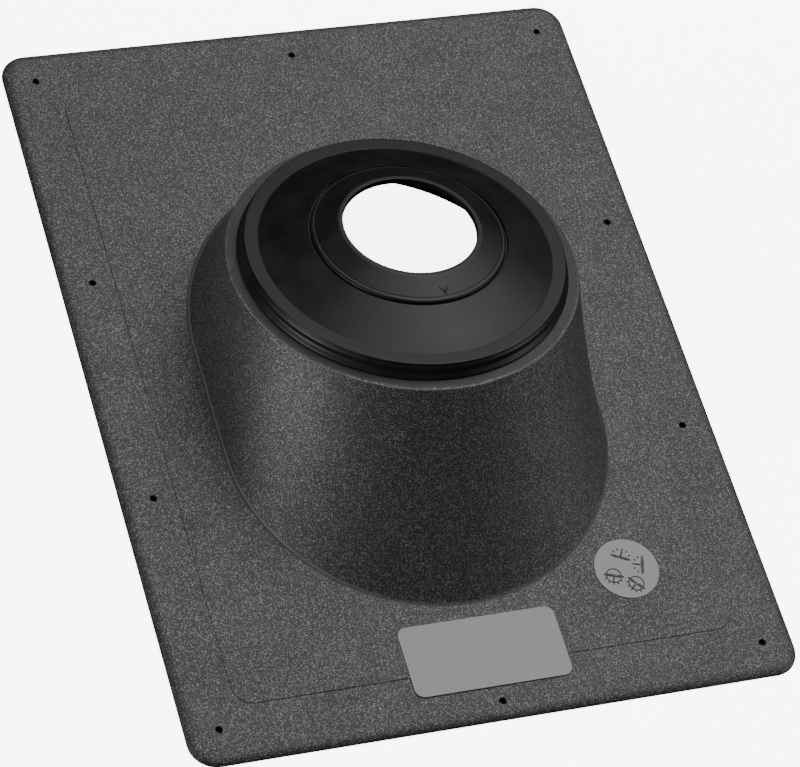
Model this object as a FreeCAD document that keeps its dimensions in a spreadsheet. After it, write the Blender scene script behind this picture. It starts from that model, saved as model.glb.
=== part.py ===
"""Roof flashing boot for a round vent pipe: a moulded base and the rubber collar that grips its neck.

The base is one moulding: a flat plate with nail holes, a slightly raised field, a label pad, a date pad,
and a hollow boot that leans from a long rounded foot up to a tilted round shoulder.
The collar is one rubber moulding: a skirt that sits on the shoulder over the neck, a rim band, and a
cone with a tear ring round its hole, so that a larger pipe passes once the ring is pulled out.
Millimetres and degrees. The origin is the middle of the plate's underside, +Y runs up the roof, +Z is up.
"""
import FreeCAD, Part
import math
import os

import Sketcher

V = FreeCAD.Vector

# Driving dimensions. Heights above or below the rim are measured along the collar's tilted axis.
DIMENSIONS = [
    ("plate_width", 317.5, "plate, side to side"),
    ("plate_length", 424.1, "plate, down the roof"),
    ("plate_thickness", 3.0, "plate under the nail rows"),
    ("plate_corner", 14.0, "corner radius of the plate"),
    ("plate_edge", 2.0, "chamfer of the plate's top edge"),
    ("field_side", 28.05, "plate's edge to the raised field, at the sides"),
    ("field_end", 29.05, "plate's edge to the raised field, at the front and back"),
    ("field_corner", 10.0, "corner radius of the raised field"),
    ("field_rise", 0.3, "step from the plate up to the raised field"),
    ("label_width", 82.5, "label pad, side to side"),
    ("label_length", 39.0, "label pad, down the roof"),
    ("label_corner", 5.0, "corner radius of the label pad"),
    ("label_left", 1.0, "middle of the label pad, left of the middle line"),
    ("label_end", 36.85, "middle of the label pad, from the plate's front edge"),
    ("date_radius", 17.0, "date pad"),
    ("date_side", 73.65, "middle of the date pad, from the plate's right edge"),
    ("date_end", 70.05, "middle of the date pad, from the plate's front edge"),
    ("pad_rise", 0.4, "step up to the label pad and the date pad, from the field"),
    ("nail_radius", 1.9, "nail hole"),
    ("corner_nail_side", 16.85, "corner nail holes, from the plate's side edge"),
    ("corner_nail_end", 18.25, "corner nail holes, from the plate's front or back edge"),
    ("side_nail_side", 16.75, "side nail holes, from the plate's side edge"),
    ("side_nail_spacing", 129.2, "side nail holes, one to the next along the edge"),
    ("back_nail_end", 17.55, "nail hole at the middle of the back, from the plate's back edge"),
    ("front_nail_end", 9.35, "nail hole at the middle of the front, from the plate's front edge"),
    ("foot_radius", 101.1, "outer radius of the boot's foot, at the plate's underside"),
    ("foot_front", 49.8, "middle of the foot's front round, forward of the origin"),
    ("foot_back", 18.0, "middle of the foot's back round, behind the origin"),
    ("foot_chamfer", 1.4, "ramp between the boot and the plate"),
    ("boot_wall", 3.2, "wall of the boot, measured level"),
    ("boot_flare", 1.6, "hollow of the boot's side at mid height, in from a straight wall"),
    ("girth_bulge", 1.05, "half width of the boot at mid height less the radius of its front and back"),
    ("collar_tilt", 11.7, "lean of the collar's axis towards the back"),
    ("rim_y", 20.6, "middle of the rim, behind the origin"),
    ("rim_z", 69.5, "middle of the rim, above the underside"),
    ("shoulder_radius", 90.0, "outer edge of the shoulder, before rounding"),
    ("shoulder_chamfer", 0.9, "chamfer of the shoulder's edge"),
    ("shoulder_turn", 15.9, "half of the shoulder's turn that each straight side of the foot runs up to"),
    ("shoulder_drop", 8.8, "rim band down to the shoulder's seat"),
    ("shoulder_thickness", 3.0, "thickness of the shoulder under the seat"),
    ("neck_inner", 77.5, "opening through the shoulder and its neck"),
    ("neck_wall", 3.0, "wall of the neck"),
    ("neck_rise", 6.2, "neck above the seat"),
    ("fit_gap", 0.2, "gap between the neck and the collar over it"),
    ("rim_radius", 81.7, "outer edge of the rim band"),
    ("rim_round", 0.9, "eased corner of the rim band's outer edge"),
    ("band_inner", 74.4, "inner edge of the rim band"),
    ("band_step", 0.5, "rim band down to the foot of the cone"),
    ("skirt_waist", 82.8, "skirt at its waist groove"),
    ("skirt_foot", 84.2, "skirt where it meets the seat"),
    ("waist_drop", 3.2, "rim band down to the waist groove"),
    ("bead_width", 1.3, "height of the skirt's upper bead, under the waist"),
    ("cone_wall", 2.2, "wall of the cone, measured along the axis"),
    ("lip_height", 15.8, "top of the hole's lip above the rim band"),
    ("lip_width", 2.4, "flat top of the lip"),
    ("lip_depth", 3.4, "straight wall of the hole"),
    ("hole_radius", 33.8, "hole for the pipe"),
    ("tear_radius", 49.2, "inner edge of the tear groove"),
    ("tear_width", 1.4, "tear groove"),
    ("tear_depth", 1.1, "tear groove"),
    ("pull_bead", 2.2, "bead beside the tear groove, on the ring that pulls out"),
    ("pull_rise", 0.45, "bead above the cone"),
]

# Places worked out from the sheet, as expressions.
SIDE_EDGE = "dims.plate_width / 2"
END_EDGE = "dims.plate_length / 2"
FIELD_TOP = "dims.plate_thickness + dims.field_rise"
LIP_OUTER = "(dims.hole_radius + dims.lip_width)"
CONE_SLOPE = f"(dims.lip_height + dims.band_step) / (dims.band_inner - {LIP_OUTER})"
TILT = "dims.collar_tilt * 1 deg"
SEAT_Y = f"(dims.rim_y - dims.shoulder_drop * sin({TILT}))"
SEAT_Z = f"(dims.rim_z - dims.shoulder_drop * cos({TILT}))"
LEVEL_LENGTH = "(dims.foot_radius + (dims.foot_front + dims.foot_back) / 2" \
    f" + dims.shoulder_radius * cos({TILT}))"
GIRTH_TILT = f"atan(dims.shoulder_radius * sin({TILT}) / {LEVEL_LENGTH})"
GIRTH_HALF_LENGTH = f"{LEVEL_LENGTH} / 2 / cos({GIRTH_TILT}) - dims.boot_flare"
GIRTH_HALF_WIDTH = "(dims.foot_radius + dims.shoulder_radius) / 2 - dims.boot_flare"

# Two places nearer than this count as one.
NEAR = 1e-3

doc = FreeCAD.newDocument("flashing_boot")
sheet = doc.addObject("Spreadsheet::Sheet", "dims")
for row, (alias, value, meaning) in enumerate(DIMENSIONS, start=1):
    sheet.set(f"A{row}", alias)
    sheet.set(f"B{row}", str(value))
    sheet.set(f"C{row}", meaning)
    sheet.setAlias(f"B{row}", alias)
doc.recompute()


def number(expression):
    """Value of an expression on the sheet."""
    return float(sheet.evalExpression(expression))


def new_sketch(body, name, role="XY_Plane"):
    """A sketch on one of the body's own origin planes."""
    plane = next(item for item in body.Origin.OriginFeatures if item.Role == role)
    sketch = body.newObject("Sketcher::SketchObject", name)
    sketch.AttachmentSupport = (plane, [""])
    sketch.MapMode = "FlatFace"
    return sketch


def bind(sketch, constraint, name, expression):
    """Add a constraint and tie its value to the sheet."""
    index = sketch.addConstraint(constraint)
    sketch.renameConstraint(index, name)
    sketch.setExpression(f"Constraints.{name}", expression)


def place_point(sketch, edge, end, name, x, y):
    """Tie one end or centre of a sketch edge to a place given as two expressions."""
    for axis, kind, expression in (("x", "DistanceX", x), ("y", "DistanceY", y)):
        constraint = Sketcher.Constraint(kind, -1, 1, edge, end, number(expression))
        bind(sketch, constraint, f"{name}_{axis}", expression)


def circle(sketch, name, x, y, radius):
    """A circle whose middle and radius follow the sheet."""
    middle = V(number(x), number(y), 0)
    edge = sketch.addGeometry(Part.Circle(middle, V(0, 0, 1), number(radius)), False)
    place_point(sketch, edge, 3, name, x, y)
    bind(sketch, Sketcher.Constraint("Radius", edge, number(radius)), f"{name}_r", radius)


def polygon(sketch, corners):
    """A closed profile through named corners, each placed by two expressions."""
    spots = [V(number(x), number(y), 0) for name, x, y in corners]
    count = len(spots)
    for index, (name, x, y) in enumerate(corners):
        sketch.addGeometry(Part.LineSegment(spots[index], spots[(index + 1) % count]), False)
    for index, (name, x, y) in enumerate(corners):
        sketch.addConstraint(Sketcher.Constraint("Coincident", index, 2, (index + 1) % count, 1))
        place_point(sketch, index, 1, name, x, y)


def arc_between(middle, radius, start, end):
    """An arc in the sketch plane, counter-clockwise from one angle to another, in degrees."""
    round_line = Part.Circle(middle, V(0, 0, 1), radius)
    return Part.ArcOfCircle(round_line, math.radians(start), math.radians(end))


def rounded_rectangle(sketch, width, length, corner, x="0", y="0"):
    """A rectangle with four equal corner arcs, about a middle."""
    half_x, half_y, radius = number(width) / 2, number(length) / 2, number(corner)
    mid_x, mid_y = number(x), number(y)
    quarters = [(1, 1, 0, "right", "back"), (-1, 1, 90, "left", "back"),
                (-1, -1, 180, "left", "front"), (1, -1, 270, "right", "front")]
    arcs = []
    for sign_x, sign_y, start, side, end in quarters:
        middle = V(mid_x + sign_x * (half_x - radius), mid_y + sign_y * (half_y - radius), 0)
        edge = sketch.addGeometry(arc_between(middle, radius, start, start + 90), False)
        arcs.append(edge)
        place_point(sketch, edge, 3, f"{side}_{end}",
                    f"{x} + {sign_x} * ({width} / 2 - {corner})",
                    f"{y} + {sign_y} * ({length} / 2 - {corner})")
    for index, edge in enumerate(arcs):
        following = arcs[(index + 1) % 4]
        straight = Part.LineSegment(sketch.getPoint(edge, 2), sketch.getPoint(following, 1))
        line = sketch.addGeometry(straight, False)
        sketch.addConstraint(Sketcher.Constraint("Tangent", edge, 2, line, 1))
        sketch.addConstraint(Sketcher.Constraint("Tangent", line, 2, following, 1))
    bind(sketch, Sketcher.Constraint("Radius", arcs[0], radius), "corner", corner)
    for edge in arcs[1:3]:
        sketch.addConstraint(Sketcher.Constraint("Equal", arcs[0], edge))


def obround(sketch, radius, front, back):
    """Two half rounds of one radius joined by straight sides, long way along Y."""
    size, near, far = number(radius), -number(front), number(back)
    back_arc = sketch.addGeometry(arc_between(V(0, far, 0), size, 0, 180), False)
    left = sketch.addGeometry(Part.LineSegment(V(-size, far, 0), V(-size, near, 0)), False)
    front_arc = sketch.addGeometry(arc_between(V(0, near, 0), size, 180, 360), False)
    right = sketch.addGeometry(Part.LineSegment(V(size, near, 0), V(size, far, 0)), False)
    chain = [back_arc, left, front_arc, right]
    for edge, following in zip(chain, chain[1:] + chain[:1]):
        sketch.addConstraint(Sketcher.Constraint("Tangent", edge, 2, following, 1))
    place_point(sketch, back_arc, 3, "back", "0", back)
    place_point(sketch, front_arc, 3, "front", "0", f"-({front})")
    bind(sketch, Sketcher.Constraint("Radius", back_arc, size), "radius", radius)


def oval(sketch, end_radius, half_width, half_length):
    """Four tangent arcs about the sketch's origin: two tight ends and two wide sides, long way along Y."""
    tight, wide_at, long_at = number(end_radius), number(half_width), number(half_length)
    end_y = long_at - tight
    side_radius = (tight ** 2 - wide_at ** 2 - end_y ** 2) / (2 * (tight - wide_at))
    side_x = side_radius - wide_at
    turn = math.degrees(math.atan2(end_y, side_x))
    shapes = [arc_between(V(0, end_y, 0), tight, turn, 180 - turn),
              arc_between(V(side_x, 0, 0), side_radius, 180 - turn, 180 + turn),
              arc_between(V(0, -end_y, 0), tight, 180 + turn, 360 - turn),
              arc_between(V(-side_x, 0, 0), side_radius, -turn, turn)]
    arcs = [sketch.addGeometry(shape, False) for shape in shapes]
    for edge, following in zip(arcs, arcs[1:] + arcs[:1]):
        sketch.addConstraint(Sketcher.Constraint("Tangent", edge, 2, following, 1))
    place_point(sketch, arcs[0], 3, "back", "0", f"{half_length} - ({end_radius})")
    bind(sketch, Sketcher.Constraint("Radius", arcs[0], tight), "end_radius", end_radius)
    sketch.addConstraint(Sketcher.Constraint("Equal", arcs[0], arcs[2]))
    for edge in (arcs[1], arcs[3]):
        sketch.addConstraint(Sketcher.Constraint("PointOnObject", edge, 3, -1))
    sketch.addConstraint(Sketcher.Constraint("Equal", arcs[1], arcs[3]))
    radius = (f"(({end_radius}) ^ 2 - ({half_width}) ^ 2 - ({half_length} - ({end_radius})) ^ 2)"
              f" / (2 * (({end_radius}) - ({half_width})))")
    bind(sketch, Sketcher.Constraint("Radius", arcs[1], side_radius), "side_radius", radius)


def split_circle(sketch, radius, half_turn):
    """A circle about the sketch's origin in four arcs, each of which answers one edge of the obround."""
    size, turn = number(radius), number(half_turn)
    starts = [turn, 180 - turn, 180 + turn, 360 - turn]
    arcs = []
    for start, end in zip(starts, starts[1:] + [360 + turn]):
        arcs.append(sketch.addGeometry(arc_between(V(0, 0, 0), size, start, end), False))
    for edge, following in zip(arcs, arcs[1:] + arcs[:1]):
        sketch.addConstraint(Sketcher.Constraint("Coincident", edge, 2, following, 1))
        sketch.addConstraint(Sketcher.Constraint("Coincident", edge, 3, -1, 1))
    bind(sketch, Sketcher.Constraint("Radius", arcs[0], size), "radius", radius)
    for edge, side, depth in ((0, 1, 1), (1, -1, 1), (2, -1, -1), (3, 1, -1)):
        place_y = f"{depth} * ({radius}) * sin({half_turn} * 1 deg)"
        constraint = Sketcher.Constraint("DistanceY", -1, 1, arcs[edge], 1, number(place_y))
        bind(sketch, constraint, f"split_{edge}", place_y)


def on_collar_axis(sketch, height):
    """Lay a sketch square to the collar's axis, at a height along it from the rim band."""
    lean = FreeCAD.Rotation(V(-1, 0, 0), number("dims.collar_tilt"))
    sketch.AttachmentOffset = FreeCAD.Placement(V(0, 0, 0), lean)
    sketch.setExpression("AttachmentOffset.Rotation.Angle", "dims.collar_tilt")
    sketch.setExpression("AttachmentOffset.Base.y", f"dims.rim_y + ({height}) * sin({TILT})")
    sketch.setExpression("AttachmentOffset.Base.z", f"dims.rim_z + ({height}) * cos({TILT})")


def through_collar_axis(sketch):
    """Turn a sketch of the middle plane so that its Y axis is the collar's axis and its X axis a radius."""
    lean = FreeCAD.Rotation(V(0, 0, -1), number("dims.collar_tilt"))
    sketch.AttachmentOffset = FreeCAD.Placement(V(0, 0, 0), lean)
    sketch.setExpression("AttachmentOffset.Rotation.Angle", "dims.collar_tilt")
    sketch.setExpression("AttachmentOffset.Base.x", "dims.rim_y")
    sketch.setExpression("AttachmentOffset.Base.y", "dims.rim_z")


def pad(body, sketch, name, length):
    """Raise a sketch by a length."""
    feature = body.newObject("PartDesign::Pad", name)
    feature.Profile = sketch
    feature.setExpression("Length", length)
    doc.recompute()
    return feature


def cut_through(body, sketch, name, upward=True):
    """Cut a sketch right through the body, and make sure that it cut something."""
    before = body.Shape.Volume
    feature = body.newObject("PartDesign::Pocket", name)
    feature.Profile = sketch
    feature.Type = "ThroughAll"
    feature.Reversed = upward
    doc.recompute()
    if body.Shape.Volume >= before:
        raise RuntimeError(f"{name} cuts nothing")


def at_boot_girth(sketch):
    """Lay a sketch at the boot's mid height, halfway between the foot and the tilted shoulder."""
    lean = FreeCAD.Rotation(V(-1, 0, 0), number(GIRTH_TILT))
    sketch.AttachmentOffset = FreeCAD.Placement(V(0, 0, 0), lean)
    sketch.setExpression("AttachmentOffset.Rotation.Angle", GIRTH_TILT)
    foot_middle = "(dims.foot_back - dims.foot_front) / 2"
    sketch.setExpression("AttachmentOffset.Base.y", f"({SEAT_Y} + {foot_middle}) / 2")
    sketch.setExpression("AttachmentOffset.Base.z", f"{SEAT_Z} / 2")


def boot_form(body, kind, name, inset, top, ruled):
    """The boot's leaning form, added to the body or taken from it, inside the outer face by an inset.

    It runs from the obround foot through an oval girth at mid height to the tilted round shoulder,
    in one smooth sweep or, when ruled, in two straight runs.
    """
    foot = new_sketch(body, f"{name}_foot")
    obround(foot, f"dims.foot_radius - {inset}", "dims.foot_front", "dims.foot_back")
    girth = new_sketch(body, f"{name}_girth")
    oval(girth, f"{GIRTH_HALF_WIDTH} - dims.girth_bulge - {inset}", f"{GIRTH_HALF_WIDTH} - {inset}",
         f"{GIRTH_HALF_LENGTH} - {inset}")
    at_boot_girth(girth)
    shoulder = new_sketch(body, f"{name}_shoulder")
    split_circle(shoulder, f"dims.shoulder_radius - {inset}", "dims.shoulder_turn")
    on_collar_axis(shoulder, top)
    feature = body.newObject(f"PartDesign::{kind}", name)
    feature.Profile = foot
    feature.Sections = [girth, shoulder]
    feature.Ruled = ruled
    doc.recompute()


def chamfer_edges(body, name, size, wanted):
    """Chamfer the edges of the body's last feature that a test picks out."""
    base = body.Tip
    names = [f"Edge{index}" for index, edge in enumerate(base.Shape.Edges, start=1) if wanted(edge)]
    if not names:
        raise RuntimeError(f"{name} finds no edge")
    feature = body.newObject("PartDesign::Chamfer", name)
    feature.Base = (base, names)
    feature.setExpression("Size", size)
    doc.recompute()


def lies_level(edge, height):
    """Whether the whole edge lies at a height above the underside."""
    return abs(edge.BoundBox.ZMin - height) < NEAR and abs(edge.BoundBox.ZMax - height) < NEAR


def within(point, reach):
    """Whether a point lies nearer to the origin than a reach along X and one along Y."""
    return abs(point.x) < reach[0] and abs(point.y) < reach[1]


def from_rim(point):
    """Height of a point above the rim band and its distance from the collar's axis."""
    upright = FreeCAD.Rotation(V(1, 0, 0), number("dims.collar_tilt"))
    local = upright.multVec(point - V(0, number("dims.rim_y"), number("dims.rim_z")))
    return local.z, math.hypot(local.x, local.y)


def on_ring(edge, height, radius):
    """Whether an edge lies on a circle about the collar's axis."""
    spots = [from_rim(edge.valueAt(at)) for at in (edge.FirstParameter, edge.LastParameter)]
    return all(abs(up - height) < NEAR and abs(out - radius) < NEAR for up, out in spots)


def make_base():
    """The moulded base: plate, raised field, pads, hollow boot, shoulder and neck."""
    body = doc.addObject("PartDesign::Body", "flashing_base")

    outline = new_sketch(body, "plate_outline")
    rounded_rectangle(outline, "dims.plate_width", "dims.plate_length", "dims.plate_corner")
    pad(body, outline, "plate", "dims.plate_thickness")
    plate_top = number("dims.plate_thickness")
    chamfer_edges(body, "plate_chamfer", "dims.plate_edge", lambda edge: lies_level(edge, plate_top))

    field = new_sketch(body, "field_outline")
    rounded_rectangle(field, "(dims.plate_width - 2 * dims.field_side)",
                      "(dims.plate_length - 2 * dims.field_end)", "dims.field_corner")
    pad(body, field, "raised_field", FIELD_TOP)

    boot_form(body, "AdditiveLoft", "boot", "0", "-dims.shoulder_drop", False)

    seat = -number("dims.shoulder_drop")
    shoulder_radius = number("dims.shoulder_radius")
    chamfer_edges(body, "shoulder_chamfer", "dims.shoulder_chamfer",
                  lambda edge: on_ring(edge, seat, shoulder_radius))
    field_top = number(FIELD_TOP)
    foot_reach = number("dims.foot_radius"), number("dims.foot_radius + dims.foot_front")
    chamfer_edges(body, "foot_chamfer", "dims.foot_chamfer",
                  lambda edge: lies_level(edge, field_top) and within(edge.CenterOfMass, foot_reach))

    neck = new_sketch(body, "neck_outline")
    circle(neck, "outer", "0", "0", "dims.neck_inner + dims.neck_wall")
    on_collar_axis(neck, "-dims.shoulder_drop")
    pad(body, neck, "neck", "dims.neck_rise")

    label = new_sketch(body, "label_outline")
    rounded_rectangle(label, "dims.label_width", "dims.label_length", "dims.label_corner",
                      "-dims.label_left", f"dims.label_end - {END_EDGE}")
    pad(body, label, "label_pad", f"{FIELD_TOP} + dims.pad_rise")
    date = new_sketch(body, "date_outline")
    circle(date, "edge", f"{SIDE_EDGE} - dims.date_side", f"dims.date_end - {END_EDGE}",
           "dims.date_radius")
    pad(body, date, "date_pad", f"{FIELD_TOP} + dims.pad_rise")

    boot_form(body, "SubtractiveLoft", "boot_hollow", "dims.boot_wall",
              "-dims.shoulder_drop - dims.shoulder_thickness", True)

    opening = new_sketch(body, "neck_opening")
    circle(opening, "inner", "0", "0", "dims.neck_inner")
    on_collar_axis(opening, "dims.neck_rise - dims.shoulder_drop")
    mouth = body.newObject("PartDesign::Pocket", "neck_bore")
    mouth.Profile = opening
    mouth.setExpression("Length", "dims.neck_rise + dims.shoulder_thickness + dims.boot_wall")
    doc.recompute()

    nails = new_sketch(body, "nail_holes")
    for side, sign_x in (("left", -1), ("right", 1)):
        for end, sign_y in (("front", -1), ("back", 1)):
            circle(nails, f"{side}_{end}_corner", f"{sign_x} * ({SIDE_EDGE} - dims.corner_nail_side)",
                   f"{sign_y} * ({END_EDGE} - dims.corner_nail_end)", "dims.nail_radius")
            circle(nails, f"{side}_{end}_side", f"{sign_x} * ({SIDE_EDGE} - dims.side_nail_side)",
                   f"{sign_y} * dims.side_nail_spacing / 2", "dims.nail_radius")
    circle(nails, "back_middle", "0", f"{END_EDGE} - dims.back_nail_end", "dims.nail_radius")
    circle(nails, "front_middle", "0", f"dims.front_nail_end - {END_EDGE}", "dims.nail_radius")
    cut_through(body, nails, "nailing")
    return body


def cone_height(radius):
    """Expression for the height of the cone's top face at a distance from the collar's axis."""
    return f"(dims.band_inner - ({radius})) * {CONE_SLOPE} - dims.band_step"


def make_collar():
    """The rubber collar: one section turned about the tilted axis."""
    body = doc.addObject("PartDesign::Body", "pipe_collar")
    socket_wall = "dims.neck_inner + dims.neck_wall + dims.fit_gap"
    socket_top = "dims.neck_rise + dims.fit_gap - dims.shoulder_drop"
    underside_start = f"dims.band_inner - ({socket_top} + dims.band_step + dims.cone_wall) / ({CONE_SLOPE})"
    ring_edge = "dims.tear_radius - dims.pull_bead"
    groove_out = "dims.tear_radius + dims.tear_width"
    groove_floor = f"{cone_height(groove_out)} - dims.tear_depth"

    corners = [
        ("hole_top", "dims.hole_radius", "dims.lip_height"),
        ("lip_edge", LIP_OUTER, "dims.lip_height"),
        ("bead_start", ring_edge, cone_height(ring_edge)),
        ("bead_crest", "dims.tear_radius - dims.pull_bead / 2",
         f"{cone_height('dims.tear_radius - dims.pull_bead / 2')} + dims.pull_rise"),
        ("bead_end", "dims.tear_radius", cone_height("dims.tear_radius")),
        ("groove_in", "dims.tear_radius + dims.tear_width / 4", groove_floor),
        ("groove_floor", "dims.tear_radius + dims.tear_width * 3 / 4", groove_floor),
        ("groove_out", groove_out, cone_height(groove_out)),
        ("cone_foot", "dims.band_inner", "-dims.band_step"),
        ("band_inside", "dims.band_inner", "0"),
        ("rim_edge", "dims.rim_radius - dims.rim_round", "0"),
        ("rim_shoulder", "dims.rim_radius", "-dims.rim_round * (1 - cos(45 deg))"),
        ("waist_top", "dims.skirt_waist", "-dims.waist_drop"),
        ("bead_foot", "dims.skirt_foot", "-dims.waist_drop - dims.bead_width"),
        ("skirt_foot", "dims.skirt_foot", "-dims.shoulder_drop"),
        ("socket_foot", socket_wall, "-dims.shoulder_drop"),
        ("socket_top", socket_wall, socket_top),
        ("cone_under", underside_start, socket_top),
        ("lip_under", LIP_OUTER, "dims.lip_height - dims.lip_depth"),
        ("hole_foot", "dims.hole_radius", "dims.lip_height - dims.lip_depth"),
    ]
    section = new_sketch(body, "collar_section", "YZ_Plane")
    through_collar_axis(section)
    polygon(section, corners)
    doc.recompute()
    turn = body.newObject("PartDesign::Revolution", "collar")
    turn.Profile = section
    turn.ReferenceAxis = (section, ["V_Axis"])
    turn.Angle = 360
    doc.recompute()
    return body


subparts = [make_base(), make_collar()]

for item in doc.Objects:
    if "Invalid" in item.State or "Error" in item.State:
        raise RuntimeError(f"{item.Name} failed: {item.State}")

os.makedirs("parts", exist_ok=True)
for body in subparts:
    body.Label = body.Name
    shape = body.Shape
    if shape.isNull() or not shape.isValid() or len(shape.Solids) != 1:
        raise RuntimeError(f"{body.Label} is not one valid solid")
    shape.exportStep(f"parts/{body.Label}.step")
    print(body.Label, "volume", round(shape.Volume), "faces", len(shape.Faces))
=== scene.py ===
"""Looks of a roof flashing boot for a vent pipe, built round its CAD frame.

Each operator makes one piece or one group of like pieces from the sizes in its property group.
Sizes are in metres. +Z points away from the roof, +Y runs up the roof's slope.
"""
import math
from functools import partial

import bmesh
import bpy
import numpy as np
from mathutils import Matrix, Vector
from mathutils.geometry import delaunay_2d_cdt


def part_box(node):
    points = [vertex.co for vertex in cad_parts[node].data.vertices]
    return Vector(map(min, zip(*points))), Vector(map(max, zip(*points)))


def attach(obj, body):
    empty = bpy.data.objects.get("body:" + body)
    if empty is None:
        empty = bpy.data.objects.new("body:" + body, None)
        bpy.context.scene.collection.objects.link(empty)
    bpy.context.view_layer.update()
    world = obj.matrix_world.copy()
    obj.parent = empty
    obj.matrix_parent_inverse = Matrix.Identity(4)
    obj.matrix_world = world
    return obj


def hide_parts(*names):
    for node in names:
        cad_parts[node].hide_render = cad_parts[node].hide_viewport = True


bl_info = {
    "name": "Pipe flashing boot",
    "version": (1, 0, 0),
    "blender": (4, 5, 0),
    "location": "View3D > Sidebar > Flashing",
    "description": "Makes the looks of a roof flashing boot round its CAD frame",
    "category": "Object",
}

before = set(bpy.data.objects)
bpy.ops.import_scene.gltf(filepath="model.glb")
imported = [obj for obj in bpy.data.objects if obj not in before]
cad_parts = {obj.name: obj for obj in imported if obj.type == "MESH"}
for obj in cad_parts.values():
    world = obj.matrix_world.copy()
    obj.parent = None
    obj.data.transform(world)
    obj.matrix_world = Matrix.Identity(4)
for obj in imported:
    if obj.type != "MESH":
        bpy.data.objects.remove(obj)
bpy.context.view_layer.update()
BASE_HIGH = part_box("flashing_base")[1]

MM = 0.001


# ---------------------------------------------------------------- sizes and colours

def linear(hex_code):
    """Linear colour of an sRGB hex code: a power law above a short straight start."""
    parts = np.array([int(hex_code[at:at + 2], 16) for at in (1, 3, 5)]) / 255
    return tuple(np.where(parts <= 0.04045, parts / 12.92, ((parts + 0.055) / 1.055) ** 2.4))


def length(name, millimetres, description):
    """A length property, given in millimetres and kept in metres."""
    return bpy.props.FloatProperty(name=name, description=description, default=millimetres * MM,
                                   unit="LENGTH", subtype="DISTANCE", precision=4)


def angle(name, degrees, description):
    """An angle property, given in degrees and kept in radians."""
    return bpy.props.FloatProperty(name=name, description=description, default=math.radians(degrees),
                                   unit="ROTATION", subtype="ANGLE")


def colour(name, hex_code, description):
    """A colour property, given as an sRGB hex code and kept linear."""
    return bpy.props.FloatVectorProperty(name=name, description=description, default=linear(hex_code),
                                         size=3, min=0, max=1, subtype="COLOR")


def share(name, value, description):
    """A property from 0 to 1."""
    return bpy.props.FloatProperty(name=name, description=description, default=value,
                                   min=0, max=1, subtype="FACTOR")


def watts(name, value, description):
    """A lamp's power."""
    return bpy.props.FloatProperty(name=name, description=description, default=value, min=0, unit="POWER")


class PlateSizes(bpy.types.PropertyGroup):
    """Sizes of the flat plate, its raised field and its nail holes."""

    thickness: length("Thickness", 3.0, "Plate under the nail rows")
    corner: length("Corner", 14.0, "Corner radius of the plate")
    edge_width: length("Edge width", 5.5, "Width of the roll along the plate's top edge")
    edge_drop: length("Edge drop", 2.7, "Height of that roll")
    arris: length("Arris", 0.2, "Rounding of the plate's bottom edge")
    field_side: length("Field side", 28.05, "Plate's edge to the raised field, at the sides")
    field_end: length("Field end", 29.05, "Plate's edge to the raised field, at the ends")
    field_corner: length("Field corner", 10.0, "Corner radius of the raised field")
    field_rise: length("Field rise", 0.3, "Step up to the raised field")
    nail_radius: length("Nail hole", 1.85, "Radius of a nail hole")
    corner_nail_side: length("Corner nail side", 16.85, "Corner nail holes, from the side edge")
    corner_nail_end: length("Corner nail end", 18.25, "Corner nail holes, from the front or back edge")
    side_nail_side: length("Side nail side", 16.75, "Side nail holes, from the side edge")
    side_nail_spacing: length("Side nail spacing", 129.2, "Side nail holes, one to the next")
    back_nail_end: length("Back nail end", 17.55, "Middle nail hole, from the back edge")
    front_nail_end: length("Front nail end", 9.35, "Middle nail hole, from the front edge")


class BootSizes(bpy.types.PropertyGroup):
    """Sizes of the hollow boot, its shoulder and its neck."""

    foot_radius: length("Foot radius", 101.1, "Outer radius of the foot's rounds, at the underside")
    foot_front: length("Foot front", 49.8, "Middle of the front round, forward of the origin")
    foot_back: length("Foot back", 18.0, "Middle of the back round, behind the origin")
    foot_round: length("Foot round", 1.5, "Rounding between the boot and the plate")
    wall: length("Wall", 3.2, "Wall of the boot, measured level")
    flare: length("Flare", 1.6, "How far the side curves in at mid height")
    girth_bulge: length("Girth bulge", 1.05, "Half width at mid height less its end radius")
    shoulder_radius: length("Shoulder radius", 90.0, "Outer edge of the shoulder")
    shoulder_round: length("Shoulder round", 1.3, "Rounding of the shoulder's edge")
    shoulder_turn: angle("Shoulder turn", 15.9, "Turn of the shoulder that half a straight side runs up to")
    shoulder_drop: length("Shoulder drop", 8.8, "Rim band down to the shoulder")
    shoulder_thickness: length("Shoulder thickness", 3.0, "Thickness of the shoulder")
    neck_inner: length("Neck inner", 77.5, "Opening through the neck")
    neck_wall: length("Neck wall", 3.0, "Wall of the neck")
    neck_rise: length("Neck rise", 6.2, "Neck above the shoulder")
    neck_round: length("Neck round", 0.5, "Rounding of the neck's edges")


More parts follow.
